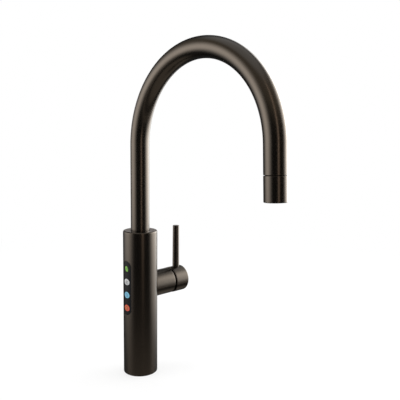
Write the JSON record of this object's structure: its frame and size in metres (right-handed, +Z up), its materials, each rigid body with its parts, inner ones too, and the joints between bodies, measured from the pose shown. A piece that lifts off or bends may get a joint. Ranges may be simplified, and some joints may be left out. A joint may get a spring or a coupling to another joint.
{
  "type": "boiling water tap",
  "caption": "Swan-neck kitchen mixer for boiling, filtered and mixed water: round upright body with a touch panel, side lever arm with a thin rod, and a swivelling spout.",
  "frame": {"origin": "centre of the body on the worktop face, at the top of the deck hole", "axes": "+Z up, -Y along the spout, +X along the lever arm, -X out of the touch panel"},
  "size_m": [0.0993, 0.2649, 0.4825],
  "materials": {
    "gunmetal": "satin gunmetal bronze coating over brass and stainless steel",
    "brass": "turned and machined brass",
    "steel": "turned stainless steel",
    "black_rubber": "moulded rubber",
    "grey_plastic": "moulded acetal",
    "black_plastic": "moulded nylon",
    "ceramic": "lapped alumina",
    "black_glass": "polished black glass",
    "board": "solder mask",
    "silicone": "soft silicone",
    "leaf_light": "lit green window",
    "white_light": "lit white window",
    "blue_light": "lit light blue window",
    "red_light": "lit orange red window",
    "lamp": "small light emitting diode"
  },
  "bodies": {
    "tap_body": {"arm_sleeve": "gunmetal", "base_ring": "brass", "board_plug": "black_plastic", "body_casing": "gunmetal", "boiling_inlet": "brass", "boiling_lamp": "lamp", "boiling_window": "red_light", "cartridge_dome": "gunmetal", "cartridge_housing": "grey_plastic", "cartridge_nut": "brass", "cartridge_pad": "black_rubber", "cartridge_socket": "brass", "chilled_lamp": "lamp", "chilled_window": "blue_light", "clamp_gasket": "black_rubber", "clamp_nut": "brass", "clamp_plate": "steel", "cold_inlet": "brass", "core_body": "brass", "deck_seal": "black_rubber", "filtered_inlet": "brass", "fixed_disc": "ceramic", "guide_bush": "grey_plastic", "hot_inlet": "brass", "lead_socket": "black_plastic", "leaf_lamp": "lamp", "leaf_window": "leaf_light", "panel_gasket": "black_rubber", "panel_glass": "black_glass", "panel_lead": "black_rubber", "panel_tray": "black_plastic", "shank": "brass", "still_lamp": "lamp", "still_window": "white_light", "stop_screw": "steel", "touch_board": "board"},
    "spout": {"thrust_washer": "grey_plastic", "spout_tube": "gunmetal", "spout_spigot": "brass", "spigot_seal_lower": "black_rubber", "spigot_seal_upper": "black_rubber", "inner_water_tube": "silicone", "outlet_cap": "gunmetal", "outlet_insert": "brass", "outlet_seal": "black_rubber", "aerator_housing": "grey_plastic", "aerator_grille": "grey_plastic"},
    "carrier": {"cartridge_carrier": "black_plastic", "pivot_pin": "steel"},
    "disc_slider": {"moving_disc": "ceramic", "disc_driver": "black_plastic"},
    "lever": {"handle_hub": "gunmetal", "lever_rod": "gunmetal", "cartridge_stem": "steel", "hub_screw": "steel", "hub_plug": "gunmetal"}
  },
  "joints": [
    {"name": "spout_swivel", "type": "hinge", "parent": "tap_body", "child": "spout", "pos_m": [0, 0, 0.18], "axis": [0, 0, 1], "range_deg": [-75, 75]},
    {"name": "temperature_turn", "type": "hinge", "parent": "tap_body", "child": "carrier", "pos_m": [0.0365, 0, 0.118], "axis": [1, 0, 0], "range_deg": [-45, 45]},
    {"name": "flow_tilt", "type": "hinge", "parent": "carrier", "child": "lever", "pos_m": [0.0365, 0, 0.118], "axis": [0, 1, 0], "range_deg": [0, 12]},
    {"name": "disc_slide", "type": "slide", "parent": "carrier", "child": "disc_slider", "axis": [0, 0, 1], "range_m": [0, 0.00246]}
  ],
  "couplings": [
    {"joint": "disc_slide", "follows": "flow_tilt", "m_per_rad": 0.0117}
  ]
}
